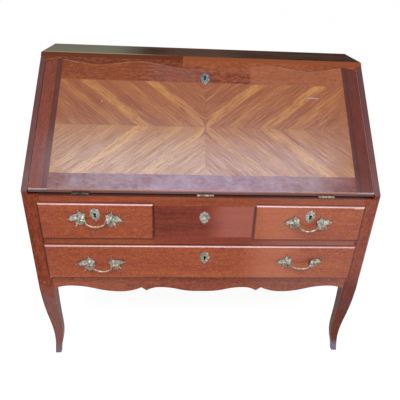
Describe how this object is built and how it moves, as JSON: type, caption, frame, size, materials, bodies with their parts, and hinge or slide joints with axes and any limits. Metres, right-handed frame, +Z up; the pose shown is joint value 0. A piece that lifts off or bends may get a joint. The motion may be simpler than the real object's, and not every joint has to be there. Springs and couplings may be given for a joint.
{
  "type": "slant-front desk",
  "caption": "Slant-front writing desk on cabriole legs with a hinged lid veneered in matched stripes, drawers with swinging bail handles, a scalloped apron and pigeonholes inside.",
  "frame": {"origin": "on the floor under the middle of the desk's outline", "axes": "+X to the desk's right as seen from the front, +Y to the back, +Z up"},
  "size_m": [1.07, 0.5526, 1],
  "materials": {
    "mahogany": "french polished reddish-brown mahogany",
    "dark_mahogany": "dark polished mahogany",
    "drawer_mahogany": "polished figured mahogany",
    "striped_veneer": "polished striped veneer laid in four matched quarters",
    "oak": "plain oak, unpolished",
    "old_brass": "aged brass",
    "hinge_brass": "worn brass",
    "iron": "bright iron",
    "green_leather": "tooled writing leather"
  },
  "bodies": {
    "case": {"left_front_post": "mahogany", "right_front_post": "mahogany", "left_rear_post": "mahogany", "right_rear_post": "mahogany", "left_side_panel": "mahogany", "right_side_panel": "mahogany", "top_board": "dark_mahogany", "back_panel": "oak", "top_front_rail": "dark_mahogany", "upper_front_rail": "mahogany", "middle_front_rail": "mahogany", "centre_front_panel": "mahogany", "front_apron": "mahogany", "dust_board": "oak", "well_walls": "oak", "drawer_runners": "oak", "writing_bed": "mahogany", "pigeonhole_uprights": "mahogany", "pigeonhole_shelves": "mahogany", "case_hinge_leaves": "hinge_brass", "hinge_pins": "hinge_brass", "stay_studs": "hinge_brass", "centre_escutcheon": "old_brass"},
    "lid": {"lid_left_stile": "dark_mahogany", "lid_right_stile": "dark_mahogany", "lid_top_rail": "dark_mahogany", "lid_bottom_rail": "dark_mahogany", "lid_panel": "oak", "lid_parquetry": "striped_veneer", "writing_leather": "green_leather", "lid_hinge_leaves": "hinge_brass", "stay_brackets": "hinge_brass", "lid_lock_case": "hinge_brass", "lid_escutcheon": "old_brass"},
    "lid_lock_bolt": {"lid_lock_bolt": "iron"},
    "left_stay": {"left_stay": "hinge_brass"},
    "right_stay": {"right_stay": "hinge_brass"},
    "secret_slide": {"secret_slide": "mahogany"},
    "left_drawer": {"left_drawer_front": "drawer_mahogany", "left_drawer_box": "oak", "left_drawer_leaf_plates": "old_brass", "left_drawer_escutcheon": "old_brass"},
    "left_drawer_bail": {"left_drawer_bail": "old_brass"},
    "right_drawer": {"right_drawer_front": "drawer_mahogany", "right_drawer_box": "oak", "right_drawer_leaf_plates": "old_brass", "right_drawer_escutcheon": "old_brass"},
    "right_drawer_bail": {"right_drawer_bail": "old_brass"},
    "long_drawer": {"long_drawer_front": "drawer_mahogany", "long_drawer_box": "oak", "long_drawer_leaf_plates": "old_brass", "long_drawer_escutcheon": "old_brass"},
    "long_drawer_left_bail": {"long_drawer_left_bail": "old_brass"},
    "long_drawer_right_bail": {"long_drawer_right_bail": "old_brass"},
    "inner_drawer_far_left": {"inner_drawer_far_left": "mahogany"},
    "inner_drawer_left": {"inner_drawer_left": "mahogany"},
    "inner_drawer_right": {"inner_drawer_right": "mahogany"},
    "inner_drawer_far_right": {"inner_drawer_far_right": "mahogany"}
  },
  "joints": [
    {"name": "lid_hinge", "type": "hinge", "parent": "case", "child": "lid", "pos_m": [0, -0.25025, 0.66675], "axis": [1, 0, 0], "range_deg": [0, 137.9]},
    {"name": "bolt_slide", "type": "slide", "parent": "lid", "child": "lid_lock_bolt", "axis": [0, 0.742, 0.6704], "range_m": [0, 0.011]},
    {"name": "left_stay_pivot", "type": "hinge", "parent": "lid", "child": "left_stay", "pos_m": [-0.51, -0.17262, 0.70786], "axis": [1, 0, 0], "range_deg": [-70, 0]},
    {"name": "right_stay_pivot", "type": "hinge", "parent": "lid", "child": "right_stay", "pos_m": [0.51, -0.17262, 0.70786], "axis": [1, 0, 0], "range_deg": [-70, 0]},
    {"name": "left_drawer_slide", "type": "slide", "parent": "case", "child": "left_drawer", "axis": [0, -1, 0], "range_m": [0, 0.32]},
    {"name": "right_drawer_slide", "type": "slide", "parent": "case", "child": "right_drawer", "axis": [0, -1, 0], "range_m": [0, 0.32]},
    {"name": "long_drawer_slide", "type": "slide", "parent": "case", "child": "long_drawer", "axis": [0, -1, 0], "range_m": [0, 0.32]},
    {"name": "left_drawer_bail_swing", "type": "hinge", "parent": "left_drawer", "child": "left_drawer_bail", "pos_m": [-0.326, -0.27025, 0.588], "axis": [-1, 0, 0], "range_deg": [0, 100]},
    {"name": "right_drawer_bail_swing", "type": "hinge", "parent": "right_drawer", "child": "right_drawer_bail", "pos_m": [0.322, -0.27025, 0.58], "axis": [-1, 0, 0], "range_deg": [0, 100]},
    {"name": "long_drawer_left_bail_swing", "type": "hinge", "parent": "long_drawer", "child": "long_drawer_left_bail", "pos_m": [-0.318, -0.27025, 0.421], "axis": [-1, 0, 0], "range_deg": [0, 100]},
    {"name": "long_drawer_right_bail_swing", "type": "hinge", "parent": "long_drawer", "child": "long_drawer_right_bail", "pos_m": [0.317, -0.27025, 0.428], "axis": [-1, 0, 0], "range_deg": [0, 100]},
    {"name": "secret_slide_run", "type": "slide", "parent": "case", "child": "secret_slide", "axis": [0, 1, 0], "range_m": [0, 0.16]},
    {"name": "inner_drawer_far_left_slide", "type": "slide", "parent": "case", "child": "inner_drawer_far_left", "axis": [0, -1, 0], "range_m": [0, 0.11]},
    {"name": "inner_drawer_left_slide", "type": "slide", "parent": "case", "child": "inner_drawer_left", "axis": [0, -1, 0], "range_m": [0, 0.11]},
    {"name": "inner_drawer_right_slide", "type": "slide", "parent": "case", "child": "inner_drawer_right", "axis": [0, -1, 0], "range_m": [0, 0.11]},
    {"name": "inner_drawer_far_right_slide", "type": "slide", "parent": "case", "child": "inner_drawer_far_right", "axis": [0, -1, 0], "range_m": [0, 0.11]}
  ],
  "couplings": [
    {"joint": "left_stay_pivot", "follows": "lid_hinge", "ratio": -0.5},
    {"joint": "right_stay_pivot", "follows": "lid_hinge", "ratio": -0.5}
  ]
}
